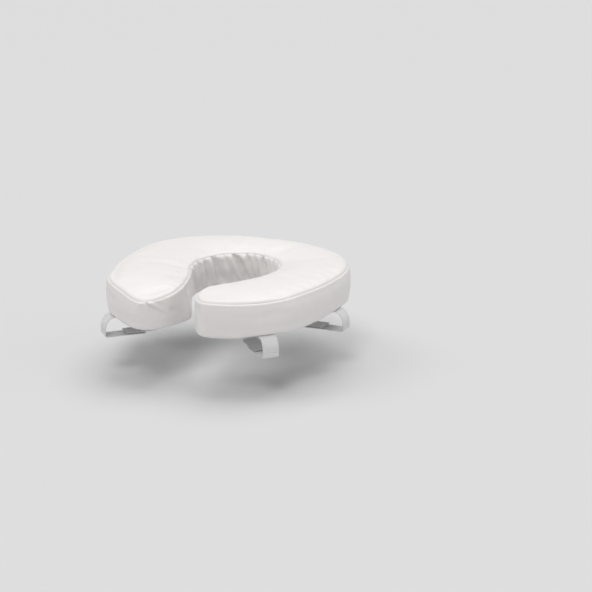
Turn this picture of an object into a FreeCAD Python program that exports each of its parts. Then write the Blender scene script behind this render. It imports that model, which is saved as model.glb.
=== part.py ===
# Padded horseshoe toilet seat riser: a foam cushion on a plywood base, sewn into a vinyl
# cover and held to a toilet seat by four hook-and-loop straps.
# Millimetres. Z up from the underside, Y to the rear, X to the sitter's left.
import FreeCAD, Part
import os
from math import sin, cos, radians, degrees, atan2, hypot

os.makedirs("parts", exist_ok=True)
V = FreeCAD.Vector

# ---- plan outline: one half as a chain of tangent arcs, rear centre to front tip to hole ----
REAR_Y = 166.5           # rear edge behind the origin
HOLE_REAR_Y = 76.5       # rear edge of the hole
REAR_R, REAR_TURN = 222.0, 29.0
CORNER_R, CORNER_TURN = 124.0, 58.0
SIDE_R, SIDE_TURN = 359.0, 19.5
FRONT_R, FRONT_TURN = 101.0, 50.0
EDGE_R, EDGE_TURN = 236.0, 9.5
TIP_R, TIP_TURN = 24.0, 61.0     # rounded end of each arm
LIP_R = 56.0             # arm end easing into the front gap
GAP_RUN = 8.0            # straight part of the front gap
FLARE_R, FLARE_TURN = 58.0, 26.0
NECK_R, NECK_TURN = 162.0, 10.0
HOLE_SIDE_R, HOLE_SIDE_TURN = 79.0, 47.5
HOLE_BACK_R = 64.5

# ---- heights and skins ----
TOP_Z = 56.0             # crown of the cushion
SEAM_Z = 53.2            # seam between top panel and side band
EDGE_ROUND = 9.0         # rounded top edge
FOOT_ROUND = 4.0         # band turned under the base
VINYL = 0.8
JOIN_Y = -112.0          # upright joins of the side band, inside the front gap
ZONE_X, ZONE_Y = 105.0, 110.0    # plan limits of the band's inner length
COVER_T = 0.7            # non-slip cloth under the base
FLANGE_Z = 2.3           # lower face of the vinyl turned under the base
FLANGE_W = 22.0
BOARD_T = 6.0
BOARD_IN = 5.0           # foam wraps the board's edge
COVER_INSET = 12.0
HEM_W = 7.0
THREAD = 0.9

# ---- straps (section: u outward from the cushion's edge, w along it, z up) ----
WEB_W, WEB_T = 25.0, 1.1
TAB_Z = 1.75             # middle of the webbing where it lies under the base
TAB_IN = -42.0
ROOT_U = 1.5             # fold line at the cushion's edge
NOSE_GAP = 0.95          # fold axis to the start of the next length
BEND_R = 20.0            # sweep of the strap round a seat ring
LOW_U, LOW_Z = 12.0, -27.6     # lower outer fold line
INNER_U, INNER_Z = -67.0, -24.5  # lower inner fold line
INNER_TAB = -92.0
INNER_BEND_R = 1.6       # inner strap turning down through its slot
OUTER_END_U = -50.0
INNER_END_U = -20.0
PATCH_T = 0.8
PATCH_W = 22.0
HOOK_U = (-48.0, -22.0)
LOOP_U = (-50.0, -21.5)
REAR_STRAP_Y = 14.0      # rear straps sit square to the long sides
FRONT_ANGLE = -44.0      # front straps face out at the front corners


def chain():
    front = REAR_TURN + CORNER_TURN + SIDE_TURN + FRONT_TURN + EDGE_TURN + TIP_TURN
    hole_turns = NECK_TURN + HOLE_SIDE_TURN
    return [("arc", REAR_R, REAR_TURN), ("arc", CORNER_R, CORNER_TURN),
            ("arc", SIDE_R, SIDE_TURN), ("run", "side"),
            ("arc", FRONT_R, FRONT_TURN), ("arc", EDGE_R, EDGE_TURN),
            ("arc", TIP_R, TIP_TURN), ("arc", LIP_R, 270.0 - front), ("run", GAP_RUN),
            ("arc", FLARE_R, FLARE_TURN), ("run", "neck"),
            ("arc", -NECK_R, NECK_TURN), ("arc", -HOLE_SIDE_R, HOLE_SIDE_TURN),
            ("arc", -HOLE_BACK_R, 90.0 + FLARE_TURN - hole_turns)]


def walk(start, runs, grow=0.0):
    """Follows the chain from start, heading +X; grow moves it outward from the material."""
    x, y, head = start[0], start[1], 0.0
    pieces = []
    for kind, *size in chain():
        if kind == "run":
            length = runs.get(size[0], size[0]) if isinstance(size[0], str) else size[0]
            nx, ny = x + length * cos(head), y + length * sin(head)
            pieces.append(("run", (x, y), (nx, ny)))
            x, y = nx, ny
            continue
        radius, turn = size[0], radians(size[1])
        side = 1.0 if radius > 0 else -1.0
        r = abs(radius) + side * grow
        cx, cy = x + side * r * sin(head), y - side * r * cos(head)
        a = atan2(y - cy, x - cx)
        mid = (cx + r * cos(a - side * turn / 2), cy + r * sin(a - side * turn / 2))
        end = (cx + r * cos(a - side * turn), cy + r * sin(a - side * turn))
        pieces.append(("arc", (x, y), mid, end))
        x, y = end
        head -= side * turn
    return pieces, (x, y)


def solve_runs():
    """Lengths of the straight side and neck that close the half outline on the centre line."""
    start = (0.0, REAR_Y)
    zero = walk(start, {"side": 0.0, "neck": 0.0})[1]
    one = walk(start, {"side": 1.0, "neck": 0.0})[1]
    two = walk(start, {"side": 0.0, "neck": 1.0})[1]
    a, c = one[0] - zero[0], one[1] - zero[1]
    b, d = two[0] - zero[0], two[1] - zero[1]
    ex, ey = -zero[0], HOLE_REAR_Y - zero[1]
    det = a * d - b * c
    return {"side": (ex * d - b * ey) / det, "neck": (a * ey - c * ex) / det}


RUNS = solve_runs()


def outline(grow=0.0, z=0.0):
    """Closed outline wire of the horseshoe, grown or shrunk by a constant distance."""
    pieces, end = walk((0.0, REAR_Y + grow), RUNS, grow)
    edges = []
    for mirror in (1.0, -1.0):
        for piece in pieces:
            pts = [V(mirror * p[0], p[1], z) for p in piece[1:]]
            if len(pts) == 3:
                edges.append(Part.Arc(*pts).toShape())
            else:
                edges.append(Part.makeLine(*pts))
    return Part.Wire(Part.__sortEdges__(edges))


def plate(grow, z0, z1):
    return Part.Face(outline(grow, z0)).extrude(V(0, 0, z1 - z0))


def rounded(grow, z0, z1, low, high):
    solid = plate(grow, z0, z1)
    for level, radius in ((z0, low), (z1, high)):
        edges = [e for e in solid.Edges
                 if abs(e.BoundBox.ZMin - level) < 1e-6 and abs(e.BoundBox.ZMax - level) < 1e-6]
        solid = solid.makeFillet(radius, edges)
    return solid


def block(x0, x1, y0, y1, z0, z1):
    return Part.makeBox(x1 - x0, y1 - y0, z1 - z0, V(x0, y0, z0))


def save(name, shape):
    solids = shape.Solids
    shape = solids[0] if len(solids) == 1 else Part.makeCompound(solids)
    shape.exportStep("parts/" + name + ".step")
    print(name, len(solids), "solids", round(shape.Volume / 1000.0, 2), "cm3", shape.isValid())


# ---- strap places ----
def at_angle(angle):
    """Point of the outline whose outward direction has this angle, on the front corner arc."""
    piece = walk((0.0, REAR_Y), RUNS)[0][4]
    (x0, y0), (xm, ym), (x1, y1) = piece[1:]
    n0 = radians(90.0 - REAR_TURN - CORNER_TURN - SIDE_TURN)
    cx, cy = x0 - FRONT_R * cos(n0), y0 - FRONT_R * sin(n0)
    a = radians(angle)
    return cx + FRONT_R * cos(a), cy + FRONT_R * sin(a)


def side_x(y):
    """Half width of the cushion at y, on the long side arc."""
    piece = walk((0.0, REAR_Y), RUNS)[0][2]
    x0, y0 = piece[1]
    n0 = radians(90.0 - REAR_TURN - CORNER_TURN)
    cx, cy = x0 - SIDE_R * cos(n0), y0 - SIDE_R * sin(n0)
    return cx + (SIDE_R ** 2 - (y - cy) ** 2) ** 0.5


FX, FY = at_angle(FRONT_ANGLE)
PLACES = {"rear_right": (side_x(REAR_STRAP_Y), REAR_STRAP_Y, 0.0, False),
          "front_right": (FX, FY, FRONT_ANGLE, False)}
for end in ("rear", "front"):
    x, y, a, _ = PLACES[end + "_right"]
    PLACES[end + "_left"] = (x, y, a, True)


def put(shape, place):
    x, y, a, mirrored = place
    shape = shape.copy()
    shape.rotate(V(0, 0, 0), V(0, 0, 1), a)
    shape.translate(V(x, y, 0))
    return shape.mirror(V(0, 0, 0), V(1, 0, 0)) if mirrored else shape


# ---- strap lengths in their own section: x = u, y = w, z = z ----
def band(points, closed_round=()):
    """Webbing of thickness WEB_T along a path of straight and arc steps in the u-z plane."""
    half, solids = WEB_T / 2, []
    for step in points:
        if step[0] == "run":
            (u0, z0), (u1, z1) = step[1:]
            ln = hypot(u1 - u0, z1 - z0)
            nx, nz = -(z1 - z0) / ln * half, (u1 - u0) / ln * half
            ring = [V(u0 + nx, 0, z0 + nz), V(u1 + nx, 0, z1 + nz),
                    V(u1 - nx, 0, z1 - nz), V(u0 - nx, 0, z0 - nz)]
            face = Part.Face(Part.makePolygon(ring + ring[:1]))
        else:
            (cu, cz), r, a0, a1 = step[1:]
            am = (a0 + a1) / 2

            def on(rad, ang):
                return V(cu + rad * cos(radians(ang)), 0, cz + rad * sin(radians(ang)))
            out, inn = r + half, r - half
            face = Part.Face(Part.Wire([
                Part.Arc(on(out, a0), on(out, am), on(out, a1)).toShape(),
                Part.makeLine(on(out, a1), on(inn, a1)),
                Part.Arc(on(inn, a1), on(inn, am), on(inn, a0)).toShape(),
                Part.makeLine(on(inn, a0), on(out, a0))]))
        solids.append(face.extrude(V(0, WEB_W, 0)))
    for u, z in closed_round:
        solids.append(Part.makeCylinder(half, WEB_W, V(u, 0, z), V(0, 1, 0)))
    solid = solids[0].multiFuse(solids[1:]).removeSplitter() if len(solids) > 1 else solids[0]
    solid.translate(V(0, -WEB_W / 2, 0))
    return solid


BEND_U = LOW_U - BEND_R
TOP_ANG = degrees(atan2((BEND_R ** 2 - (ROOT_U - BEND_U) ** 2) ** 0.5, ROOT_U - BEND_U))
BEND_Z = TAB_Z - BEND_R * sin(radians(TOP_ANG))
START_ANG = TOP_ANG - degrees(NOSE_GAP / BEND_R)

outer_tab = band([("run", (TAB_IN, TAB_Z), (ROOT_U, TAB_Z))], [(ROOT_U, TAB_Z)])
outer_side = band([("arc", (BEND_U, BEND_Z), BEND_R, 0.0, START_ANG),
                   ("run", (LOW_U, BEND_Z), (LOW_U, LOW_Z))], [(LOW_U, LOW_Z)])
outer_end = band([("run", (LOW_U - NOSE_GAP, LOW_Z), (OUTER_END_U, LOW_Z))])
bend_at = (INNER_U - INNER_BEND_R, TAB_Z - INNER_BEND_R)
inner_side = band([("run", (INNER_TAB, TAB_Z), (bend_at[0], TAB_Z)),
                   ("arc", bend_at, INNER_BEND_R, 0.0, 90.0),
                   ("run", (INNER_U, bend_at[1]), (INNER_U, INNER_Z))],
                  [(INNER_U, INNER_Z)])
inner_end = band([("run", (INNER_U + NOSE_GAP, INNER_Z), (INNER_END_U, INNER_Z))])
hook_patch = block(HOOK_U[0], HOOK_U[1], -PATCH_W / 2, PATCH_W / 2,
                   LOW_Z + WEB_T / 2, LOW_Z + WEB_T / 2 + PATCH_T)
loop_patch = block(LOOP_U[0], LOOP_U[1], -PATCH_W / 2, PATCH_W / 2,
                   INNER_Z - WEB_T / 2 - PATCH_T, INNER_Z - WEB_T / 2)
STRAP = {"outer_tab": outer_tab, "outer_side": outer_side, "outer_end": outer_end,
         "hook_patch": hook_patch, "inner_side": inner_side, "inner_end": inner_end,
         "loop_patch": loop_patch}


# ---- staples: a flat crown with two legs ----
CROWN, CROWN_W, CROWN_T = 10.0, 1.2, 0.4
LEG, LEG_T = 6.0, 0.6
STRAP_STAPLE_U = (-7.0, -24.0, -76.0, -86.0)
COVER_STAPLE_IN = 15.5   # row of cover staples, in from the cushion's edge
COVER_STAPLES = 46       # places in the row; those that meet a strap are left out


def staple(x, y, angle, z_top):
    """Crown just under z_top, legs up into the base, long side along angle."""
    s = block(-CROWN / 2, CROWN / 2, -CROWN_W / 2, CROWN_W / 2, z_top - CROWN_T, z_top)
    for u in (-CROWN / 2, CROWN / 2 - LEG_T):
        s = s.fuse(block(u, u + LEG_T, -CROWN_W / 2, CROWN_W / 2, z_top - CROWN_T, z_top + LEG))
    s = s.removeSplitter()
    s.rotate(V(0, 0, 0), V(0, 0, 1), angle)
    s.translate(V(x, y, 0))
    return s


strap_staples = []
for place in PLACES.values():
    for u in STRAP_STAPLE_U:
        strap_staples.append(put(staple(0, 0, 90.0, TAB_Z - WEB_T / 2).translated(V(u, 0, 0)),
                                 place))

cover_staples = []
ring = outline(-COVER_STAPLE_IN).discretize(Number=COVER_STAPLES + 1)[:-1]
for i, p in enumerate(ring):
    q, o = ring[(i + 1) % len(ring)], ring[i - 1]
    near_tab = False
    for x, y, a, mirrored in PLACES.values():
        px = -p.x if mirrored else p.x
        w = -(px - x) * sin(radians(a)) + (p.y - y) * cos(radians(a))
        u = (px - x) * cos(radians(a)) + (p.y - y) * sin(radians(a))
        near_tab = near_tab or (abs(w) < WEB_W / 2 + 7 and u > INNER_TAB - 8)
    if not near_tab:
        cover_staples.append(staple(p.x, p.y, degrees(atan2(q.y - o.y, q.x - o.x)), FLANGE_Z))
STAPLES = Part.makeCompound(strap_staples + cover_staples)

# ---- cushion ----
outer_form = rounded(0.0, FLANGE_Z, TOP_Z, FOOT_ROUND, EDGE_ROUND)
inner_form = rounded(-VINYL, FLANGE_Z + VINYL, TOP_Z - VINYL,
                     FOOT_ROUND - VINYL, EDGE_ROUND - VINYL)
BOARD_Z = FLANGE_Z + VINYL
board_blank = plate(-BOARD_IN, BOARD_Z, BOARD_Z + BOARD_T)
base_board = board_blank.cut(STAPLES)
foam_core = inner_form.cut(board_blank)

skin = outer_form.cut(inner_form)
skin = skin.cut(plate(-FLANGE_W, FLANGE_Z - 1, BOARD_Z + 0.2))

# seam groove where the top panel meets the band, with its lock-stitched thread
seam_sin = (SEAM_Z - (TOP_Z - EDGE_ROUND)) / EDGE_ROUND
seam_in = EDGE_ROUND * (1.0 - (1.0 - seam_sin ** 2) ** 0.5)
top_seam_thread = plate(-seam_in + THREAD / 2, SEAM_Z - THREAD / 2, SEAM_Z + THREAD / 2).cut(
    plate(-seam_in - THREAD / 2, SEAM_Z - 1, SEAM_Z + 1))
foam_core = foam_core.cut(top_seam_thread)
skin = skin.cut(top_seam_thread)

above = block(-400, 400, -400, 400, SEAM_Z, 200)
top_panel = skin.common(above)
band_skin = skin.cut(above)

# the side band is sewn from an outer and an inner length, joined inside the front gap
zone = block(-ZONE_X, ZONE_X, JOIN_Y, ZONE_Y, -10, 80)
tip_seams = []
edge_points = outline(-0.25).discretize(Distance=0.5)
for sign in (1, -1):
    best = min((p for p in edge_points if 0 < sign * p.x < 40), key=lambda p: abs(p.y - JOIN_Y))
    tip_seams.append(block(best.x - THREAD / 2, best.x + THREAD / 2,
                           JOIN_Y - THREAD / 2, JOIN_Y + THREAD / 2,
                           FLANGE_Z + FOOT_ROUND, TOP_Z - EDGE_ROUND))
tip_seam_threads = Part.makeCompound(tip_seams)
band_skin = band_skin.cut(tip_seam_threads).cut(STAPLES)
foam_core = foam_core.cut(tip_seam_threads)

outer_boxing = band_skin.cut(zone)
inner_boxing = band_skin.common(zone)

# ---- underside cloth: flat sheet, folded hem, notches for the tabs, slots for the straps ----
sheet = plate(-COVER_INSET, 0.0, COVER_T)
hem = plate(-COVER_INSET, COVER_T, FLANGE_Z).cut(
    plate(-COVER_INSET - HEM_W, COVER_T - 1, FLANGE_Z + 1))
bottom_cover = sheet.fuse(hem)
ROOM = 0.6               # clearance beside a strap
half = WEB_W / 2 + ROOM
low, high = COVER_T + 0.1, FLANGE_Z + 1
for place in PLACES.values():
    notch = block(TAB_IN - 3, 5, -half, half, low, high)
    tab_room = block(INNER_TAB - 2, INNER_U + 7, -half, half, low, high)
    slot = block(INNER_U - 3.0, INNER_U + 2.5, -half, half, -2, COVER_T + 1)
    for cut in (notch, tab_room, slot):
        bottom_cover = bottom_cover.cut(put(cut, place))
bottom_cover = bottom_cover.cut(STAPLES)

save("foam_core", foam_core)
save("base_board", base_board)
save("top_panel", top_panel)
save("outer_boxing", outer_boxing)
save("inner_boxing", inner_boxing)
save("top_seam_thread", top_seam_thread)
save("tip_seam_threads", tip_seam_threads)
save("bottom_cover", bottom_cover)
save("cover_staples", Part.makeCompound(cover_staples))

for corner, place in PLACES.items():
    for name, shape in STRAP.items():
        piece = put(shape, place)
        if name in ("outer_tab", "inner_side"):
            piece = piece.cut(Part.makeCompound(strap_staples))
        save(corner + "_" + name, piece)
save("strap_staples", Part.makeCompound(strap_staples))
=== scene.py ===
# Padded horseshoe toilet seat riser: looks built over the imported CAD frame. Metres, Z up.
import math
import bpy
import numpy as np
from mathutils.kdtree import KDTree
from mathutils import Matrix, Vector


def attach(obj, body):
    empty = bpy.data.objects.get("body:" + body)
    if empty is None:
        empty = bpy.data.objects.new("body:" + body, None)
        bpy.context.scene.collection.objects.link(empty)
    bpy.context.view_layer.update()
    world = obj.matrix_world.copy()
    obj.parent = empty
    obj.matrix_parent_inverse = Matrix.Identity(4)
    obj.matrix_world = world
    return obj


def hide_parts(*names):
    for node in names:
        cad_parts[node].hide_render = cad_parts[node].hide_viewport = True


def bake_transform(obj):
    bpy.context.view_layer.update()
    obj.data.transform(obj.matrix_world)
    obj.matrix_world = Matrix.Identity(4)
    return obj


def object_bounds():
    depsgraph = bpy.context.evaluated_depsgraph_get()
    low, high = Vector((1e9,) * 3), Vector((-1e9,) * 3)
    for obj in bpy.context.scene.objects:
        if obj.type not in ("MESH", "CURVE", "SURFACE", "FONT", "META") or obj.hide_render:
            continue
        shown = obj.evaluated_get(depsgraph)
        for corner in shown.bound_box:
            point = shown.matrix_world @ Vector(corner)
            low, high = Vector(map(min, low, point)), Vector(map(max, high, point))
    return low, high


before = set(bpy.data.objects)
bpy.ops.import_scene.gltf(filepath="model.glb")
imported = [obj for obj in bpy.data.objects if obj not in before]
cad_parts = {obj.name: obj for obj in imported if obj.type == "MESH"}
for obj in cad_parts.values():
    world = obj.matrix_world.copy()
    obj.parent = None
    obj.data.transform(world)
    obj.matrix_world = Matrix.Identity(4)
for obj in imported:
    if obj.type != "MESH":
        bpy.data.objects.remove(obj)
CAD_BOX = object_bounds()
MM = 0.001                # the patterns below are in mm

# ---------------------------------------------------------------- plan outline, as in the CAD
# half of the outline, from the rear centre round the side, the tip and into the hole: arcs have
# a radius and a turn in degrees, a negative radius turning left, and runs are straight
CHAIN = [("arc", 222.0, 29.0), ("arc", 124.0, 58.0), ("arc", 359.0, 19.5), ("run", "side"),
         ("arc", 101.0, 50.0), ("arc", 236.0, 9.5), ("arc", 24.0, 61.0), ("arc", 56.0, 43.0),
         ("run", 8.0), ("arc", 58.0, 26.0), ("run", "neck"), ("arc", -162.0, 10.0),
         ("arc", -79.0, 47.5), ("arc", -64.5, 58.5)]
REAR_Y, HOLE_REAR_Y = 166.5, 76.5
TOP_Z, SEAM_Z, EDGE_R, FOOT_R, FLANGE_Z, FLANGE_W = 56.0, 53.2, 9.0, 4.0, 2.3, 30.0
JOIN_Y = -112.0           # upright joins of the side band, inside the front gap
SPACING = 1.6             # of points along the outline
TIP_LEAN = 20.0           # the tip's middle faces this far off the front, in degrees
SEAM_A = math.asin((SEAM_Z - (TOP_Z - EDGE_R)) / EDGE_R)
SEAM_D = EDGE_R * (1 - math.cos(SEAM_A))


def follow(runs, step=None):
    """Walks one half of the outline; gives points and outward normals, or just the end."""
    x, y, h = 0.0, REAR_Y, 0.0
    pts, nrm = [], []
    for kind, *size in CHAIN:
        if kind == "run":
            ln = runs[size[0]] if isinstance(size[0], str) else size[0]
            if step and ln > 0:
                for t in np.arange(0, ln, step):
                    pts.append((x + t * math.cos(h), y + t * math.sin(h)))
                    nrm.append((-math.sin(h), math.cos(h)))
            x, y = x + ln * math.cos(h), y + ln * math.sin(h)
            continue
        side = 1.0 if size[0] > 0 else -1.0
        r, turn = abs(size[0]), math.radians(size[1])
        cx, cy = x + side * r * math.sin(h), y - side * r * math.cos(h)
        a = math.atan2(y - cy, x - cx)
        if step:
            for t in np.arange(0, turn, step / r):
                ang = a - side * t
                pts.append((cx + r * math.cos(ang), cy + r * math.sin(ang)))
                nrm.append((side * math.cos(ang), side * math.sin(ang)))
        x, y = cx + r * math.cos(a - side * turn), cy + r * math.sin(a - side * turn)
        h -= side * turn
    return (np.array(pts), np.array(nrm)) if step else np.array((x, y))


def outline(spacing):
    """Closed outline: outer rear centre, right side, tip, hole, and back round the left."""
    zero = follow({"side": 0, "neck": 0})
    m = np.c_[follow({"side": 1, "neck": 0}) - zero, follow({"side": 0, "neck": 1}) - zero]
    side, neck = np.linalg.solve(m, np.array([0, HOLE_REAR_Y]) - zero)
    p, n = follow({"side": side, "neck": neck}, 0.25)
    s = np.r_[0, np.cumsum(np.hypot(*np.diff(p, axis=0).T))]
    k = int(round(s[-1] / spacing))
    q = (np.arange(k) + 0.5) / k * s[-1]
    p = np.c_[np.interp(q, s, p[:, 0]), np.interp(q, s, p[:, 1])]
    n = np.c_[np.interp(q, s, n[:, 0]), np.interp(q, s, n[:, 1])]
    n /= np.linalg.norm(n, axis=1)[:, None]
    return np.r_[p, p[::-1] * [-1, 1]], np.r_[n, n[::-1] * [-1, 1]]


OUT_P, OUT_N = outline(SPACING)
N_ALL = len(OUT_P)
HALF = N_ALL // 2
TIP_MID = int(np.argmin(np.abs(OUT_N[:HALF, 0] * math.sin(math.radians(TIP_LEAN))
                               + OUT_N[:HALF, 1] * math.cos(math.radians(TIP_LEAN)) + 1)
                        + (OUT_P[:HALF, 1] > -150) * 9))
SEAM_K = min((i for i in range(TIP_MID, HALF) if OUT_P[i, 1] > JOIN_Y), default=TIP_MID)

FRONT_ANGLE, REAR_STRAP_Y = -44.0, 14.0


def corner_places():
    """Where each strap leaves the outline: x, y, its direction in degrees, and if it is mirrored."""
    p = OUT_P[:HALF]
    n = OUT_N[:HALF]
    ang = np.degrees(np.arctan2(n[:, 1], n[:, 0]))
    front = [i for i in range(TIP_MID) if p[i, 1] < -60]
    f = min(front, key=lambda i: abs(ang[i] - FRONT_ANGLE))
    r = min(range(TIP_MID), key=lambda i: abs(p[i, 1] - REAR_STRAP_Y))
    return {"rear_right": (p[r, 0], REAR_STRAP_Y, 0.0, False),
            "rear_left": (p[r, 0], REAR_STRAP_Y, 0.0, True),
            "front_right": (p[f, 0], p[f, 1], FRONT_ANGLE, False),
            "front_left": (p[f, 0], p[f, 1], FRONT_ANGLE, True)}


PLACES = corner_places()


def smooth(x, a, b):
    """0 at a and 1 at b, easing in and out."""
    t = np.clip((x - a) / (b - a), 0, 1)
    return t * t * (3 - 2 * t)


def bump(x, at, width):
    return np.exp(-((x - at) / width) ** 2)


def waves(x, y, z, seed, lo, hi, n=14):
    """Soft, seeded, smooth noise from a few plane waves with wavelengths lo to hi mm."""
    rng = np.random.default_rng(seed)
    total = np.zeros_like(x)
    for _ in range(n):
        d = rng.normal(size=3)
        d /= np.linalg.norm(d)
        k = 2 * math.pi / rng.uniform(lo, hi)
        total += np.sin(k * (d[0] * x + d[1] * y + d[2] * z) + rng.uniform(0, 6.28))
    return total / math.sqrt(n)


# ---------------------------------------------------------------- shape of the sewn cover
# valleys of the gathers: place at the seam along the inner wall from its rear centre, how far
# the fold drifts to the right on its way down to the foot, depth and half width, all in mm
GATHERS = [(-143, -2, 1.8, 5), (-122, 4, 2.6, 4), (-104, 8, 2.2, 4), (-88, 12, 3.4, 4.5),
           (-70, 20, 4.4, 6), (-50, 24, 1.8, 3.5), (-35, 30, 5.2, 5.5), (-15, 24, 3.6, 4),
           (-2, 24, 2.2, 3), (14, 26, 4.0, 4.5), (29, 24, 2.2, 3), (42, 22, 3.4, 4),
           (57, 20, 3.8, 4.5), (70, 16, 2.0, 3.5), (86, 12, 2.6, 5), (106, 8, 1.8, 6)]


def arc_lengths():
    """Each point's distance from the hole's rear centre, positive to the right, and from the start."""
    seg = np.hypot(*np.diff(OUT_P, axis=0).T)
    s = np.r_[0, np.cumsum(seg)]
    return s[HALF] - s, s


ALONG, ARC_S = arc_lengths()


def wall_shift(i, z):
    """Outward move of the side band at outline index i (array) and height z, in mm."""
    p, n, a = OUT_P[i], OUT_N[i], ALONG[i]
    inner = smooth(-np.abs(a), -190, -150)
    mid = np.clip((z - FLANGE_Z) / (SEAM_Z - FLANGE_Z), 0, 1)
    belly = np.sin(math.pi * np.clip(mid, 0, 1)) ** 0.8
    d = 0.9 * belly * (1 - inner) + 0.8 * belly * inner
    d += 0.35 * belly * waves(p[:, 0], p[:, 1], z * 0.6, 3, 45, 110)
    # slanted gathers of the inner wall, drawn in at the top seam and fading at the foot
    down = np.clip((SEAM_Z - z) / SEAM_Z, 0, 1)
    fold = np.zeros_like(z)
    for at, drift, deep, wide in GATHERS:
        q = a - at - drift * down
        w = wide * (0.8 + 0.5 * down)
        fold -= deep * np.exp(-(q / w) ** 2)
        fold += 0.5 * deep * (bump(q, -2.1 * wide, 1.3 * wide) + bump(q, 2.1 * wide, 1.3 * wide))
    reach = smooth(z, 0, 19) * (1 - 0.5 * smooth(z, 45, 53))
    d += fold * inner * reach
    d += inner * 1.0 * np.sin(2 * math.pi * (a / 6.8) + 1.3 * np.sin(a / 13.0)) * bump(z, 50, 4)
    d += 0.12 * np.sin(2 * math.pi * ARC_S[i] / 9.0 + np.sin(ARC_S[i] / 23.0)) * bump(z, 51, 3)
    d += 0.45 * bump(z, 50.2, 1.6) * (1 - inner)
    return d


def pucker(i, z):
    """Short fan of creases under the seam at the front corner of the left arm."""
    da, dz = ARC_S[i] - ARC_S[PUCKER_K], SEAM_Z - z
    near = np.exp(-np.clip(dz, 0, None) / 13) * smooth(dz, -3, 2)
    crease = -3.0 * bump(da, 3.0 - 1.0 * dz, 2.3) - 1.5 * bump(da, -9 - 1.3 * dz, 3.0)
    ridge = 1.7 * bump(da, 7 + 0.35 * dz, 3.2) + 3.4 * bump(da, -1.5 - 1.1 * dz, 2.4)
    return near * (crease + ridge - 0.9 * bump(da, 14 + 0.6 * dz, 3.5))


PUCKER_K = min(range(HALF, N_ALL), key=lambda i: math.hypot(OUT_P[i, 0] + 47, OUT_P[i, 1] + 181))

# ---- how the soft cushion departs from its symmetric pattern
HOLE_LEFT, HOLE_RIGHT = 9.5, 4.5     # the hole's two sides both sit towards the right
TIP_DROOP, CORNER_DROOP = 4.5, 6.0
TIP_BULGE = 7.0                      # front of the left arm
TIP_LEFT_IN, TIP_RIGHT_IN = -1, -5.5     # the two arm tips, both towards the left
INNER_SIDE = OUT_P[TIP_MID:HALF][::-1]


def lean(x, y, z):
    """Moves points of the cover from the pattern to the cushion as it really sits, in mm."""
    edge = np.interp(-y, -INNER_SIDE[:, 1], INNER_SIDE[:, 0])
    reach = 42 + 45 * smooth(y, -150, -60)
    near_l = smooth(-x, edge + reach, edge)
    near_r = smooth(x, edge + reach, edge)
    left = smooth(-x, -25, 25)
    high = smooth(z, 4, 42)
    low_l = TIP_LEFT_IN + (HOLE_LEFT - TIP_LEFT_IN) * smooth(y, -152, -98)
    high_l = TIP_LEFT_IN + (HOLE_LEFT - TIP_LEFT_IN) * smooth(y, -122, -52)
    shift_l = low_l + (high_l - low_l) * high
    shift_r = TIP_RIGHT_IN + (HOLE_RIGHT * high - TIP_RIGHT_IN) * smooth(y, -130, -45)
    dx = (left * near_l * shift_l + (1 - left) * near_r * shift_r) * smooth(-y, -164, -82)
    tip = smooth(-y, 105, 178) * smooth(-x, -5, 15) * smooth(x, -150, -72)
    tip_r = smooth(-y, 120, 178) * smooth(x, -5, 15)
    corner = np.exp(-((x + 54) ** 2 + (y + 182) ** 2) / (2 * 22.0 ** 2))
    dy = -TIP_BULGE * bump(x, -68, 26) * smooth(-y, 125, 172)
    return x + dx, y + dy, z - (TIP_DROOP * tip + CORNER_DROOP * corner + 1.0 * tip_r) * high


def set_points(p3):
    """The cushion's points as they really sit, in metres."""
    x, y, z = lean(p3[:, 0], p3[:, 1], p3[:, 2])
    return np.c_[x, y, z] * MM


def add_mesh(name, co, faces, uv=None):
    me = bpy.data.meshes.new(name)
    me.from_pydata([tuple(c) for c in co], [], [tuple(int(v) for v in f) for f in faces])
    me.validate()
    for poly in me.polygons:
        poly.use_smooth = True
    if uv is not None:
        layer = me.uv_layers.new(name="along")
        idx = np.empty(len(me.loops), int)
        me.loops.foreach_get("vertex_index", idx)
        layer.data.foreach_set("uv", np.asarray(uv, np.float32)[idx].ravel())
    ob = bpy.data.objects.new(name, me)
    bpy.context.scene.collection.objects.link(ob)
    return ob


def grid_faces(rows, cols, wrap=False):
    """Quads of a grid of rows x cols points; wrap joins the last row to the first."""
    r, c = np.meshgrid(np.arange(rows - (0 if wrap else 1)), np.arange(cols - 1), indexing="ij")
    a = r * cols + c
    b = ((r + 1) % rows) * cols + c
    return np.stack([a, b, b + 1, a + 1], -1).reshape(-1, 4)


def band_profile():
    """Depth from the outline and height, from the top seam down, round and under."""
    prof = []
    for t in np.linspace(SEAM_A, 0, 9)[:-1]:
        prof.append((-EDGE_R + EDGE_R * math.cos(t), TOP_Z - EDGE_R + EDGE_R * math.sin(t)))
    for z in np.linspace(TOP_Z - EDGE_R, FLANGE_Z + FOOT_R, 34):
        prof.append((0.0, z))
    for t in np.linspace(0, -math.pi / 2, 8)[1:]:
        prof.append((-FOOT_R + FOOT_R * math.cos(t), FLANGE_Z + FOOT_R + FOOT_R * math.sin(t)))
    for d in np.linspace(-FOOT_R, -FLANGE_W, 8)[1:]:
        prof.append((d, FLANGE_Z))
    return np.array(prof)


SEAM_DIP, SEAM_SINK = 1.25, 0.65     # depth of the sewn groove, and its share that is downwards


def seam_dip(z):
    """The sewn edge is drawn in where panel and band meet."""
    return SEAM_DIP * bump(z, SEAM_Z, 1.1)


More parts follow.
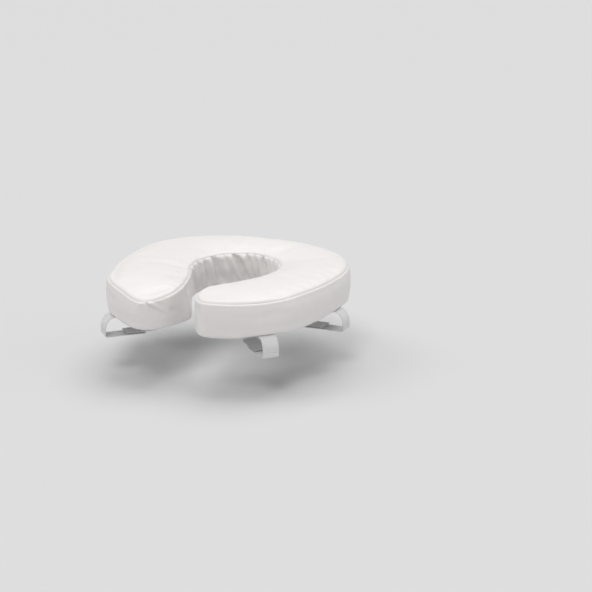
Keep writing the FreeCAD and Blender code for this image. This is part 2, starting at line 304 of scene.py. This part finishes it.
def foot_drop():
    """How far the band's foot hangs below the board: it is pulled up where a strap leaves."""
    arms = smooth(-OUT_P[:, 1], 20, 130)
    outer = np.ones(N_ALL)
    outer[np.abs(ALONG) < 150] = 0.35
    drop = (0.9 + 2.4 * arms) * outer
    for x, y, _, mirror in PLACES.values():
        gone = np.hypot(OUT_P[:, 0] - (-x if mirror else x), OUT_P[:, 1] - y)
        drop *= smooth(gone, 10, 55)
    return drop


def band_surface(idx, prof):
    """Points of the sewn side band at outline indexes idx and profile prof, before the cloth run."""
    i = np.repeat(idx, len(prof))
    d = np.tile(prof[:, 0], len(idx))
    z = np.tile(prof[:, 1], len(idx)).astype(float)
    shift = wall_shift(i, z)
    p, n = OUT_P[i], OUT_N[i]
    shift = shift + pucker(i, z)
    fade = smooth(z, FLANGE_Z, FLANGE_Z + 7)
    a = np.clip((z - (TOP_Z - EDGE_R)) / EDGE_R, 0, 1)
    out = shift * fade * np.sqrt(1 - a * a * 0.9) - seam_dip(z) * 0.75
    xy = p + n * (d + out)[:, None]
    low = (1 - smooth(z, FLANGE_Z + 2, 22)) * smooth(d, -FOOT_R - 9, -FOOT_R + 1)
    z = z - seam_dip(z) * SEAM_SINK - 0.15 * (z < FLANGE_Z + 0.01) - FOOT_DROP[i] * low
    return np.c_[xy, z]


FOOT_DROP = foot_drop()


# ---------------------------------------------------------------- cloth run of the sewn cover
SWELL_CAP = 4.5           # the furthest a point travels
FRAMES = 20
SEAM_RING = OUT_P - OUT_N * SEAM_D


def sewn_weight(p):
    """1 where the cover is held: under the base and along the top seam."""
    held = 1 - smooth(p[:, 2], 10, 16)
    for k in np.nonzero(p[:, 2] > 44)[0]:
        gap = np.sqrt(((SEAM_RING - p[k, :2]) ** 2).sum(1).min() + (SEAM_Z - p[k, 2]) ** 2)
        held[k] = max(held[k], 1 - smooth(gap, 2.5, 6.0))
    return held


def mesh_points(me):
    co = np.empty(len(me.vertices) * 3)
    me.vertices.foreach_get("co", co)
    return co.reshape(-1, 3) * 1000


def evaluated(ob):
    return bpy.data.meshes.new_from_object(ob.evaluated_get(bpy.context.evaluated_depsgraph_get()))


def blow_up():
    """Runs the cover as cloth over its foam and gives where its points start and how they move."""
    ob = bpy.data.objects.new("cover_trial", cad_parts["foam_core"].data.copy())
    bpy.context.scene.collection.objects.link(ob)
    remesh = ob.modifiers.new("even mesh", "REMESH")
    remesh.mode = "VOXEL"
    remesh.voxel_size = 0.005
    even = evaluated(ob)
    ob.modifiers.clear()
    ob.data = even
    start = mesh_points(even)
    group = ob.vertex_groups.new(name="sewn")
    for k, w in enumerate(sewn_weight(start)):
        if w > 0.01:
            group.add([k], float(w), "REPLACE")
    cloth = ob.modifiers.new("cover", "CLOTH")
    cloth.settings.quality = 6
    cloth.settings.mass = 0.3
    cloth.settings.tension_stiffness = cloth.settings.compression_stiffness = 18
    cloth.settings.shear_stiffness = 6
    cloth.settings.bending_stiffness = 0.6
    cloth.settings.shrink_min = cloth.settings.shrink_max = -0.012
    cloth.settings.use_pressure = True
    cloth.settings.uniform_pressure_force = 4
    cloth.settings.vertex_group_mass = "sewn"
    cloth.settings.effector_weights.gravity = 0
    cloth.collision_settings.use_self_collision = False
    cloth.point_cache.frame_start, cloth.point_cache.frame_end = 1, FRAMES
    for f in range(1, FRAMES + 1):
        bpy.context.scene.frame_set(f)
    move = mesh_points(evaluated(ob)) - start
    bpy.context.scene.frame_set(1)
    bpy.data.objects.remove(ob)
    far = np.linalg.norm(move, axis=1)
    move *= (SWELL_CAP * np.tanh(far / SWELL_CAP) / np.maximum(far, 1e-6))[:, None]
    tree = KDTree(len(start))
    for k, p in enumerate(start):
        tree.insert(p, k)
    tree.balance()
    return tree, move


SWELL = blow_up()


def swelled(p):
    """Adds the cloth run's travel to points of the pattern, smoothly from its nearest points."""
    if SWELL is None:
        return p
    tree, move = SWELL
    out = p.copy()
    for k, q in enumerate(p):
        near = tree.find_n(q, 10)
        w = np.array([1 / (n[2] + 2.5) ** 2 for n in near])
        out[k] += (w / w.sum()) @ move[[n[1] for n in near]]
    return out


def make_band(name, idx):
    """A length of the side band, with a UV that runs along it in metres."""
    prof = band_profile()
    co = set_points(swelled(band_surface(idx, prof)))
    s = ARC_S[idx]
    v = np.r_[0, np.cumsum(np.hypot(*np.diff(prof, axis=0).T))]
    uv = np.c_[np.repeat(s, len(prof)), np.tile(v, len(idx))] * MM
    return add_mesh(name, co, grid_faces(len(idx), len(prof)), uv)


CROWN = 1.2               # what the panel rises inside its rounded edge


def top_height(x, y, dist):
    """Height of the top panel at a distance from the outline."""
    z = np.where(dist < EDGE_R,
                 TOP_Z - EDGE_R + np.sqrt(np.clip(EDGE_R ** 2 - (EDGE_R - dist) ** 2, 0, None)),
                 TOP_Z)
    z = z + CROWN * (1 - np.exp(-np.clip(dist - 4, 0, None) / 15.0))
    z = z + 0.3 * waves(x, y, 0 * x, 8, 60, 140) * smooth(dist, 3, 15)
    # long soft wrinkle inside the left front edge, and the dimple over the tip's pucker
    along = smooth(-x, 105, 125) * smooth(-y, 20, 60) * (1 - smooth(-y, 140, 165))
    z = z - along * (1.3 * bump(dist, 9, 4) - 0.5 * bump(dist, 17, 5))
    px, py = OUT_P[PUCKER_K]
    z = z - 1.3 * np.exp(-((x - px) ** 2 + (y - py) ** 2) / 110) * smooth(dist, 0, 3)
    return z - SEAM_SINK * SEAM_DIP * bump(dist, SEAM_D, 1.0)


def resample(path, k):
    s = np.r_[0, np.cumsum(np.hypot(*np.diff(path, axis=0).T))]
    q = np.linspace(0, s[-1], k)
    return np.c_[np.interp(q, s, path[:, 0]), np.interp(q, s, path[:, 1])]


def make_top():
    """The top panel: a horseshoe strip from the outer edge to the hole's edge, smoothed inside."""
    edge = OUT_P - OUT_N * SEAM_D
    outer = np.r_[edge[TIP_MID::-1], edge[:N_ALL - TIP_MID - 2:-1]]
    inner = edge[TIP_MID:N_ALL - TIP_MID]
    k, rows = 560, 58
    o, i = resample(outer, k), resample(inner, k)
    t = np.linspace(0, 1, rows)
    t = t - 0.85 * np.sin(2 * math.pi * t) / (2 * math.pi)
    xy = (o[:, None] * (1 - t)[None, :, None] + i[:, None] * t[None, :, None]).reshape(-1, 2)
    dist = np.empty(len(xy))
    for a in range(0, len(xy), 4000):
        q = xy[a:a + 4000]
        dist[a:a + 4000] = np.sqrt(((q[:, None] - OUT_P[None]) ** 2).sum(-1)).min(1)
    z = top_height(xy[:, 0], xy[:, 1], dist)
    grid = z.reshape(k, rows)
    keep = dist.reshape(k, rows) > 12
    for _ in range(30):
        g = grid.copy()
        g[1:-1, 1:-1] = (grid[:-2, 1:-1] + grid[2:, 1:-1] + grid[1:-1, :-2] + grid[1:-1, 2:]) / 4
        grid = np.where(keep, g, grid)
    co = set_points(swelled(np.c_[xy, grid.ravel()]))
    return add_mesh("seat_top_panel", co, grid_faces(k, rows), xy * MM)


VINYL_T = 0.8 * MM


def thicken(ob):
    """Gives the vinyl its thickness, inwards from its face."""
    m = ob.modifiers.new("cloth thickness", "SOLIDIFY")
    m.thickness = VINYL_T
    m.offset = -1.0
    m.use_rim = True
    return ob


def tube(name, path, radius, sides=8, closed=False):
    """Thread or cord along a path of 3-D points."""
    k = len(path)
    if closed:
        tan = np.roll(path, -1, 0) - np.roll(path, 1, 0)
    else:
        tan = np.gradient(path, axis=0)
    tan /= np.linalg.norm(tan, axis=1)[:, None]
    ref = np.where(np.abs(tan[:, 2:3]) > 0.9, np.array([[1.0, 0, 0]]), np.array([[0, 0, 1.0]]))
    b = np.cross(tan, ref)
    b /= np.linalg.norm(b, axis=1)[:, None]
    c = np.cross(b, tan)
    a = np.arange(sides) / sides * 2 * math.pi
    co = path[:, None] + radius * (b[:, None] * np.cos(a)[None, :, None]
                                   + c[:, None] * np.sin(a)[None, :, None])
    faces = []
    for r in range(k if closed else k - 1):
        for s in range(sides):
            s2, r2 = (s + 1) % sides, (r + 1) % k
            faces.append((r * sides + s, r * sides + s2, r2 * sides + s2, r2 * sides + s))
    if not closed:
        faces.append(tuple(range(sides))[::-1])
        faces.append(tuple((k - 1) * sides + s for s in range(sides)))
    return add_mesh(name, co.reshape(-1, 3), faces)


# ---------------------------------------------------------------- materials
def material(name, color, rough, metallic=0.0):
    m = bpy.data.materials.new(name)
    m.use_nodes = True
    nt = m.node_tree
    sh = nt.nodes["Principled BSDF"]
    sh.inputs["Base Color"].default_value = (*color, 1)
    sh.inputs["Roughness"].default_value = rough
    sh.inputs["Metallic"].default_value = metallic
    return m, nt, sh


def node(nt, kind, **values):
    n = nt.nodes.new(kind)
    for k, v in values.items():
        if hasattr(n, k):
            setattr(n, k, v)
        else:
            n.inputs[k.replace("_", " ")].default_value = v
    return n


def coords(nt, which="Object"):
    return nt.nodes.new("ShaderNodeTexCoord").outputs[which]


def ramp(nt, fac, stops):
    """A colour ramp, of colours or of single values."""
    r = nt.nodes.new("ShaderNodeValToRGB")
    nt.links.new(fac, r.inputs["Fac"])
    while len(r.color_ramp.elements) < len(stops):
        r.color_ramp.elements.new(0.5)
    for e, (pos, col) in zip(r.color_ramp.elements, stops):
        e.position = pos
        e.color = (*col, 1) if len(col) == 3 else (col[0], col[0], col[0], 1)
    return r.outputs["Color"]


def add_bump(nt, sh, layers):
    """Surface detail from layers of (height, strength, distance)."""
    prev = None
    for height, strength, distance in layers:
        b = nt.nodes.new("ShaderNodeBump")
        b.inputs["Strength"].default_value = strength
        b.inputs["Distance"].default_value = distance
        nt.links.new(height, b.inputs["Height"])
        if prev is not None:
            nt.links.new(prev, b.inputs["Normal"])
        prev = b.outputs["Normal"]
    nt.links.new(prev, sh.inputs["Normal"])


def vinyl():
    m, nt, sh = material("white_vinyl", (0.80, 0.785, 0.765), 0.42)
    co = coords(nt)
    big = node(nt, "ShaderNodeTexNoise", Scale=9.0, Detail=3.0)
    nt.links.new(co, big.inputs["Vector"])
    col = ramp(nt, big.outputs["Fac"], [(0.3, (0.815, 0.79, 0.775)), (0.7, (0.84, 0.815, 0.80))])
    nt.links.new(col, sh.inputs["Base Color"])
    grain = node(nt, "ShaderNodeTexVoronoi", Scale=900.0)
    nt.links.new(co, grain.inputs["Vector"])
    fine = node(nt, "ShaderNodeTexNoise", Scale=420.0, Detail=3.0)
    nt.links.new(co, fine.inputs["Vector"])
    rg = ramp(nt, big.outputs["Fac"], [(0.25, (0.37,)), (0.75, (0.47,))])
    nt.links.new(rg, sh.inputs["Roughness"])
    add_bump(nt, sh, [(grain.outputs["Distance"], 0.10, 0.0003),
                      (fine.outputs["Fac"], 0.12, 0.0004)])
    sh.inputs["Specular IOR Level"].default_value = 0.5
    sh.inputs["Subsurface Weight"].default_value = 0.06
    sh.inputs["Subsurface Radius"].default_value = (0.004, 0.003, 0.002)
    return m


def cloth_weave(name, warp, weft, color, rough=0.78, depth=0.0003, sheen=0.25):
    """Woven webbing: rows along the strap and finer rows across it, from the strap's own UV."""
    m, nt, sh = material(name, color, rough)
    uv = coords(nt, "UV")
    w1 = node(nt, "ShaderNodeTexWave", Scale=warp, Distortion=0.6)
    w1.bands_direction = "Y"
    w2 = node(nt, "ShaderNodeTexWave", Scale=weft, Distortion=0.9)
    w2.bands_direction = "X"
    for w in (w1, w2):
        w.inputs["Detail"].default_value = 1.0
        nt.links.new(uv, w.inputs["Vector"])
    mul = nt.nodes.new("ShaderNodeMath")
    mul.operation = "MULTIPLY"
    nt.links.new(w1.outputs["Fac"], mul.inputs[0])
    nt.links.new(w2.outputs["Fac"], mul.inputs[1])
    noise = node(nt, "ShaderNodeTexNoise", Scale=60.0, Detail=3.0)
    nt.links.new(coords(nt), noise.inputs["Vector"])
    dark = tuple(c * 0.86 for c in color)
    nt.links.new(ramp(nt, mul.outputs[0], [(0.0, dark), (0.75, color)]), sh.inputs["Base Color"])
    nt.links.new(ramp(nt, noise.outputs["Fac"], [(0.3, (rough - 0.06,)), (0.7, (rough + 0.06,))]),
                 sh.inputs["Roughness"])
    sh.inputs["Sheen Weight"].default_value = sheen
    add_bump(nt, sh, [(mul.outputs[0], 0.7, depth), (noise.outputs["Fac"], 0.15, 0.0004)])
    return m


def fuzzy(name, color, scale, rough, depth, sheen, kind="loop"):
    """Tape with rows of hooks, or with a pile of loops."""
    m, nt, sh = material(name, color, rough)
    co = coords(nt)
    if kind == "hook":
        v = node(nt, "ShaderNodeTexVoronoi", Scale=scale, Randomness=0.25)
        h = v.outputs["Distance"]
    else:
        v = node(nt, "ShaderNodeTexNoise", Scale=scale, Detail=6.0)
        h = v.outputs["Fac"]
    nt.links.new(co, v.inputs["Vector"])
    dark = tuple(c * 0.72 for c in color)
    nt.links.new(ramp(nt, h, [(0.15, color), (0.75, dark)]), sh.inputs["Base Color"])
    sh.inputs["Sheen Weight"].default_value = sheen
    add_bump(nt, sh, [(h, 0.8, depth)])
    return m


def wood_edge():
    m, nt, sh = material("raw_plywood", (0.60, 0.45, 0.27), 0.65)
    co = coords(nt)
    w = node(nt, "ShaderNodeTexWave", Scale=40.0, Distortion=3.0, Detail=3.0)
    nt.links.new(co, w.inputs["Vector"])
    nt.links.new(ramp(nt, w.outputs["Fac"], [(0, (0.52, 0.38, 0.22)), (1, (0.66, 0.50, 0.31))]),
                 sh.inputs["Base Color"])
    add_bump(nt, sh, [(w.outputs["Fac"], 0.3, 0.0003)])
    return m


def foam_stuff():
    m, nt, sh = material("foam", (0.86, 0.80, 0.60), 0.9)
    v = node(nt, "ShaderNodeTexVoronoi", Scale=700.0)
    nt.links.new(coords(nt), v.inputs["Vector"])
    nt.links.new(ramp(nt, v.outputs["Distance"], [(0, (0.70, 0.63, 0.44)), (0.6, (0.87, 0.81, 0.62))]),
                 sh.inputs["Base Color"])
    add_bump(nt, sh, [(v.outputs["Distance"], 0.6, 0.0006)])
    return m


def nonwoven():
    m, nt, sh = material("underside_cloth", (0.62, 0.62, 0.61), 0.85)
    co = coords(nt)
    v = node(nt, "ShaderNodeTexVoronoi", Scale=330.0, Randomness=0.15)
    f = node(nt, "ShaderNodeTexNoise", Scale=260.0, Detail=6.0)
    for t in (v, f):
        nt.links.new(co, t.inputs["Vector"])
    nt.links.new(ramp(nt, f.outputs["Fac"], [(0.3, (0.55, 0.55, 0.545)), (0.7, (0.68, 0.68, 0.67))]),
                 sh.inputs["Base Color"])
    sh.inputs["Sheen Weight"].default_value = 0.2
    add_bump(nt, sh, [(v.outputs["Distance"], 0.45, 0.0005), (f.outputs["Fac"], 0.3, 0.0004)])
    return m


def wire_steel():
    m, nt, sh = material("staple_wire", (0.62, 0.63, 0.64), 0.32, 1.0)
    f = node(nt, "ShaderNodeTexNoise", Scale=500.0, Detail=4.0)
    nt.links.new(coords(nt), f.inputs["Vector"])
    nt.links.new(ramp(nt, f.outputs["Fac"], [(0.3, (0.26,)), (0.7, (0.42,))]),
                 sh.inputs["Roughness"])
    add_bump(nt, sh, [(f.outputs["Fac"], 0.15, 0.0001)])
    return m


def thread_stuff():
    m, nt, sh = material("thread", (0.74, 0.73, 0.715), 0.6)
    f = node(nt, "ShaderNodeTexNoise", Scale=900.0, Detail=2.0)
    nt.links.new(coords(nt), f.inputs["Vector"])
    nt.links.new(ramp(nt, f.outputs["Fac"], [(0.3, (0.66, 0.65, 0.635)), (0.7, (0.78, 0.77, 0.755))]),
                 sh.inputs["Base Color"])
    add_bump(nt, sh, [(f.outputs["Fac"], 0.4, 0.0002)])
    return m


VINYL, FOAM, WOOD, UNDER, STEEL = vinyl(), foam_stuff(), wood_edge(), nonwoven(), wire_steel()
THREAD = thread_stuff()
WEB = cloth_weave("strap_webbing", 420.0, 700.0, (0.88, 0.875, 0.875))
HOOK = fuzzy("hook_tape", (0.72, 0.72, 0.745), 620.0, 0.55, 0.0008, 0.1, "hook")
LOOP = fuzzy("loop_tape", (0.78, 0.78, 0.80), 420.0, 0.95, 0.0009, 0.6)


def dress(ob, mat):
    """Gives a piece its material."""
    ob.data.materials.clear()
    ob.data.materials.append(mat)
    return ob


# ---------------------------------------------------------------- cushion pieces
outer_idx = np.r_[np.arange(HALF * 2 - SEAM_K - 1, N_ALL), np.arange(0, SEAM_K + 1)]
inner_idx = np.arange(SEAM_K, HALF * 2 - SEAM_K)
outer_band = thicken(make_band("outer_side_band", outer_idx))
inner_band = thicken(make_band("inner_side_band", inner_idx))
top = thicken(make_top())

ring = band_surface(np.arange(N_ALL), np.array([(-SEAM_D, SEAM_Z)]))
seam = tube("top_seam", set_points(swelled(ring) + [0, 0, -0.05]), 0.00042, closed=True)
joins = []
for k in (SEAM_K, N_ALL - 1 - SEAM_K):
    prof = band_profile()
    path = band_surface(np.array([k]), prof[2:-8])
    joins.append(tube("arm_seam", set_points(swelled(path)), 0.0004))
for ob, kind in ((outer_band, "outer_boxing"), (inner_band, "inner_boxing"), (top, "top_panel")):
    dress(ob, VINYL)
    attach(ob, "cushion")
    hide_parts(kind)
dress(seam, THREAD)
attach(seam, "cushion")
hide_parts("top_seam_thread")
for n, ob in enumerate(joins):
    ob.name = ("right", "left")[n] + "_arm_seam"
    dress(ob, THREAD)
    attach(ob, "cushion")
    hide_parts("tip_seam_threads")


def make_foam():
    """The foam inside, a little smaller than the cover."""
    idx = np.arange(0, N_ALL, 2)
    side = -5.0
    prof = [(side - 7, 9.0), (side - 1, 9.0), (side, 10.0)]
    prof += [(side, z) for z in np.linspace(14, 42, 8)]
    prof += [(side - 7 * (1 - math.cos(t)), 44.0 + 7 * math.sin(t))
             for t in np.linspace(0, math.pi / 2, 7)]
    prof.append((-16.0, 51.2))
    prof = np.array(prof)
    i = np.repeat(idx, len(prof))
    behind_folds = -2.5 * smooth(-np.abs(ALONG[i]), -190, -150)
    xy = OUT_P[i] + OUT_N[i] * (np.tile(prof[:, 0], len(idx)) + behind_folds)[:, None]
    co = set_points(np.c_[xy, np.tile(prof[:, 1], len(idx))])
    rows, cols = len(idx), len(prof)
    under = [r * cols for r in range(rows)][::-1]
    over = [r * cols + cols - 1 for r in range(rows)]
    return add_mesh("foam_filling", co, [*grid_faces(rows, cols, wrap=True), under, over])


foam = dress(make_foam(), FOAM)
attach(foam, "cushion")
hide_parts("foam_core")

# ---------------------------------------------------------------- straps
# a strap's own section: u runs outwards from the cushion's edge, z is the height
ROOT_U, TAB_Z, LOW_U, LOW_Z = 1.5, 1.75, 12.0, -27.6
INNER_U, INNER_Z, BEND_R = -67.0, -24.5, 20.0
TAB_IN, OUTER_END_U, INNER_TAB, INNER_END_U = -42.0, -50.0, -92.0, -20.0
SPLIT_Z = -19.0           # the upper length meets the lower
HOOK_U, LOOP_U = (-48.0, -22.0), (-50.0, -21.5)
PATCH_W, PILE = 22.0, 0.85
STITCH_IN, STITCH_W = 1.0, 10.2
BEND_U = LOW_U - BEND_R
BEND_A = math.acos((ROOT_U - BEND_U) / BEND_R)
BEND_Z = TAB_Z - BEND_R * math.sin(BEND_A)
STRAP_W, STRAP_T, SELVEDGE = 25.0, 1.1, 0.35


def strap_path(points, step=1.2):
    """Runs with rounded corners: points are (u, z, corner radius)."""
    pts = [np.array(p[:2], float) for p in points]
    path = [pts[0]]
    for k in range(1, len(pts) - 1):
        a, b, c, r = pts[k - 1], pts[k], pts[k + 1], points[k][2]
        d1, d2 = (a - b) / np.linalg.norm(a - b), (c - b) / np.linalg.norm(c - b)
        half = math.acos(np.clip(d1 @ d2, -1, 1)) / 2
        cut = r / math.tan(half)
        p1, p2 = b + d1 * cut, b + d2 * cut
        cen = b + (d1 + d2) / np.linalg.norm(d1 + d2) * r / math.sin(half)
        a0 = math.atan2(*(p1 - cen)[::-1])
        a1 = math.atan2(*(p2 - cen)[::-1])
        sweep = (a1 - a0 + math.pi) % (2 * math.pi) - math.pi
        for t in np.linspace(0, 1, max(5, int(abs(sweep) * r / step) + 3)):
            ang = a0 + sweep * t
            path.append(cen + r * np.array((math.cos(ang), math.sin(ang))))
    path.append(pts[-1])
    path = np.array(path)
    s = np.r_[0, np.cumsum(np.hypot(*np.diff(path, axis=0).T))]
    q = np.linspace(0, s[-1], int(s[-1] / step) + 2)
    return np.c_[np.interp(q, s, path[:, 0]), np.interp(q, s, path[:, 1])], q


def ribbon(name, path, q, place, start=0.0, seed=1):
    """Flat webbing along a path in the strap's section, with rounded selvedges."""
    tan = np.gradient(path, axis=0)
    tan /= np.linalg.norm(tan, axis=1)[:, None]
    nrm = np.c_[-tan[:, 1], tan[:, 0]]
    hw, ht = STRAP_W / 2, STRAP_T / 2
    ws = np.linspace(-1, 1, 15) * (hw - SELVEDGE)
    loop = [(w, ht) for w in ws] + [(hw, 0.0)]
    loop += [(w, -ht) for w in ws[::-1]] + [(-hw, 0.0)]
    loop = np.array(loop)
    k = len(loop)
    lift = 0.10 * waves(q + start, 0 * q, 0 * q, seed, 18, 45)
    co = []
    for i in range(len(path)):
        base = path[i] + nrm[i] * lift[i]
        for w, h in loop:
            u, z = base + nrm[i] * h
            co.append((u, w, z))
    co = np.array(co)
    around = (np.arange(len(path))[:, None] * k + (np.arange(k + 1) % k)[None]).ravel()
    faces = [[around[v] for v in f] for f in grid_faces(len(path), k + 1)]
    faces.append(tuple(range(k))[::-1])
    faces.append(tuple((len(path) - 1) * k + np.arange(k)))
    uv = np.c_[np.repeat(q + start, k), np.tile(loop[:, 0], len(path))] * MM
    return add_mesh(name, to_place(co, place), faces, uv)


def to_place(co, place):
    """Moves points of a strap's section to its corner, in metres."""
    x, y, a, mirror = place
    a = math.radians(a)
    px = x + co[:, 0] * math.cos(a) - co[:, 1] * math.sin(a)
    py = y + co[:, 0] * math.sin(a) + co[:, 1] * math.cos(a)
    return np.c_[-px if mirror else px, py, co[:, 2]] * MM


def patch(name, u0, u1, w, z0, z1, place, tufts):
    """Tape from its back at z0 to its slightly uneven pile face at z1."""
    nu, nw = 44, 36
    us, ws = np.linspace(u0, u1, nu), np.linspace(-w / 2, w / 2, nw)
    uu, ww = np.meshgrid(us, ws, indexing="ij")
    rng = np.random.default_rng(tufts)
    h = rng.uniform(-0.16, 0.0, uu.shape) * (1 if tufts % 2 else 0.7)
    edge = np.minimum(np.minimum(uu - u0, u1 - uu), np.minimum(ww + w / 2, w / 2 - ww))
    face = z1 + np.sign(z1 - z0) * (h - 0.18 * np.exp(-edge / 0.4))
    co = np.r_[np.c_[uu.ravel(), ww.ravel(), face.ravel()],
               np.c_[uu.ravel(), ww.ravel(), np.full(uu.size, z0)]]
    f = grid_faces(nu, nw)
    faces = [tuple(q) for q in f] + [tuple(q[::-1] + nu * nw) for q in f]
    rim = [i * nw for i in range(nu)] + [(nu - 1) * nw + j for j in range(1, nw)]
    rim += [i * nw + nw - 1 for i in range(nu - 2, -1, -1)] + list(range(nw - 2, 0, -1))
    for a, b in zip(rim, rim[1:] + rim[:1]):
        faces.append((a, a + nu * nw, b + nu * nw, b))
    return add_mesh(name, to_place(co, place), faces)


def stitches(name, u0, u1, w, z, place, up):
    """Box of lock stitches round a tape."""
    run, length, gap = [], 2.2, 3.0
    for s in (-1, 1):
        for u in np.arange(u0, u1 - length, gap):
            run.append(((u, s * w), (u + length, s * w)))
    for u in (u0, u1):
        for v in np.arange(-w, w - length, gap):
            run.append(((u, v), (u, v + length)))
    co, faces = [], []
    for (ua, wa), (ub, wb) in run:
        du, dw = ub - ua, wb - wa
        ln = math.hypot(du, dw)
        side_u, side_w = -dw / ln * 0.22, du / ln * 0.22
        base = len(co)
        for t, hgt, wide in ((0, -0.1, 0.5), (0.15, 0.16, 1), (0.5, 0.22, 1), (0.85, 0.16, 1),
                             (1, -0.1, 0.5)):
            cu, cw = ua + du * t, wa + dw * t
            low = z + up * (hgt - 0.12)
            co += [(cu + side_u * wide, cw + side_w * wide, low), (cu, cw, z + up * hgt),
                   (cu - side_u * wide, cw - side_w * wide, low)]
        for r in range(4):
            for c in range(2):
                a = base + r * 3 + c
                faces.append((a, a + 3, a + 4, a + 1))
    return add_mesh(name, to_place(np.array(co), place), faces)


def make_strap(corner, place, num):
    """The three lengths of one strap, left unparented, with its patches and their stitching riding on
    its end bodies.
    """
    side_body, hook_end, loop_end = (corner + t for t in ("_side_body", "_hook_end", "_loop_end"))
    arc = [(BEND_U + BEND_R * math.cos(t), BEND_Z + BEND_R * math.sin(t))
           for t in np.linspace(BEND_A, 0, 9)]
    pts = np.array([(TAB_IN, TAB_Z), (-3.0, TAB_Z), (0.0, TAB_Z - 0.05)] + arc[1:]
                   + [(LOW_U, SPLIT_Z)])
    s = np.r_[0, np.cumsum(np.hypot(*np.diff(pts, axis=0).T))]
    q = np.linspace(0, s[-1], int(s[-1] / 1.0))
    line = np.c_[np.interp(q, s, pts[:, 0]), np.interp(q, s, pts[:, 1])]
    for _ in range(6):
        line[1:-1] = (line[:-2] + line[2:] + 2 * line[1:-1]) / 4
    upper = ribbon(corner + "_strap_upper", line, q, place, 0.0, 20 + num)
    dress(upper, WEB)
    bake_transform(upper)
    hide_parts(corner + "_outer_tab", corner + "_outer_side")

    path, q_low = strap_path([(LOW_U, SPLIT_Z, 0), (LOW_U, LOW_Z, 2.6), (OUTER_END_U, LOW_Z, 0)], 1.0)
    lower = ribbon(corner + "_strap_lower", path, q_low, place, q[-1], 20 + num)
    dress(lower, WEB)
    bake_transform(lower)
    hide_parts(corner + "_outer_end")

    path, q_in = strap_path([(INNER_TAB, TAB_Z, 0), (INNER_U, TAB_Z, 1.8), (INNER_U, INNER_Z, 2.2),
                             (INNER_END_U, INNER_Z, 0)], 1.0)
    inner = ribbon(corner + "_strap_inner", path, q_in, place, 0.0, 40 + num)
    dress(inner, WEB)
    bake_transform(inner)
    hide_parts(corner + "_inner_side", corner + "_inner_end")

    tapes = (("hook", HOOK_U, LOW_Z, 1, HOOK, hook_end, 51 + 2 * num),
             ("loop", LOOP_U, INNER_Z, -1, LOOP, loop_end, 52 + 2 * num))
    for tag, (u0, u1), z, up, mat, body, seed in tapes:
        tape = patch(f"{corner}_{tag}_face", u0, u1, PATCH_W, z + up * 0.5, z + up * (0.5 + PILE),
                     place, seed)
        dress(tape, mat)
        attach(tape, body)
        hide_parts(f"{corner}_{tag}_patch")
    for tag, (u0, u1), z, up, _, body, _ in tapes:
        rows = stitches(f"{corner}_{tag}_stitching", u0 + STITCH_IN, u1 - STITCH_IN, STITCH_W,
                        z - up * STRAP_T / 2, place, -up)
        dress(rows, THREAD)
        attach(rows, body)


for num, (corner, place) in enumerate(PLACES.items()):
    make_strap(corner, place, num)

# ---------------------------------------------------------------- kept CAD nodes
for name, mat in (("base_board", WOOD), ("bottom_cover", UNDER), ("cover_staples", STEEL),
                  ("strap_staples", STEEL)):
    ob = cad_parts[name]
    for sl in ob.material_slots:
        sl.material = mat
    if not ob.material_slots:
        ob.data.materials.append(mat)

# ---------------------------------------------------------------- stage
STRAP_DROP = 0.062        # how far below its closed loop a released strap can hang
FLOOR_REACH = 30.0
AIR = 0.39                # strength of the even light from all round


def make_stage():
    """A plain pale floor, low enough to leave every strap free at every pose."""
    me = bpy.data.meshes.new("floor")
    r, z = FLOOR_REACH, CAD_BOX[0][2] - STRAP_DROP
    me.from_pydata([(-r, -r, z), (r, -r, z), (r, r, z), (-r, r, z)], [], [(0, 1, 2, 3)])
    floor = bpy.data.objects.new("floor", me)
    bpy.context.scene.collection.objects.link(floor)
    m, nt, sh = material("pale_floor", (0.64, 0.64, 0.645), 0.85)
    sh.inputs["Specular IOR Level"].default_value = 0.2
    me.materials.append(m)


def soft_sun(name, azimuth, elevation, strength, spread, color=(1, 1, 1)):
    """A broad, even studio light from an azimuth, 0 being the front and 90 the right side."""
    data = bpy.data.lights.new(name, "SUN")
    data.energy = strength
    data.angle = math.radians(spread)
    data.color = color
    ob = bpy.data.objects.new(name, data)
    ob.rotation_euler = (math.radians(90 - elevation), 0, math.radians(azimuth))
    bpy.context.scene.collection.objects.link(ob)


make_stage()
soft_sun("key", 8, 52, 0.80, 22, (1.0, 0.985, 0.965))
soft_sun("left", -75, 50, 0.48, 30)
soft_sun("right", 105, 26, 0.30, 60, (0.98, 0.98, 1.0))
soft_sun("top", 180, 70, 1.35, 50)
world = bpy.data.worlds.new("studio")
world.use_nodes = True
world.node_tree.nodes["Background"].inputs["Color"].default_value = (0.97, 0.975, 0.985, 1)
world.node_tree.nodes["Background"].inputs["Strength"].default_value = AIR
bpy.context.scene.world = world
bpy.context.scene.view_settings.view_transform = "Standard"

# ---------------------------------------------------------------- camera, a long lens 3.5 m away
CAM_AT, CAM_DOWN, CAM_TURN = (1.4315, -3.0458, 1.022), 16.75, 23.48
cam_data = bpy.data.cameras.new("camera")
cam_data.lens = 141.2
cam_data.sensor_width = 36.0
cam_data.shift_y = -0.0031
cam_data.clip_end = 100
cam = bpy.data.objects.new("camera", cam_data)
cam.location = CAM_AT
cam.rotation_euler = (math.radians(90 - CAM_DOWN), 0, math.radians(CAM_TURN))
bpy.context.scene.collection.objects.link(cam)
bpy.context.scene.camera = cam
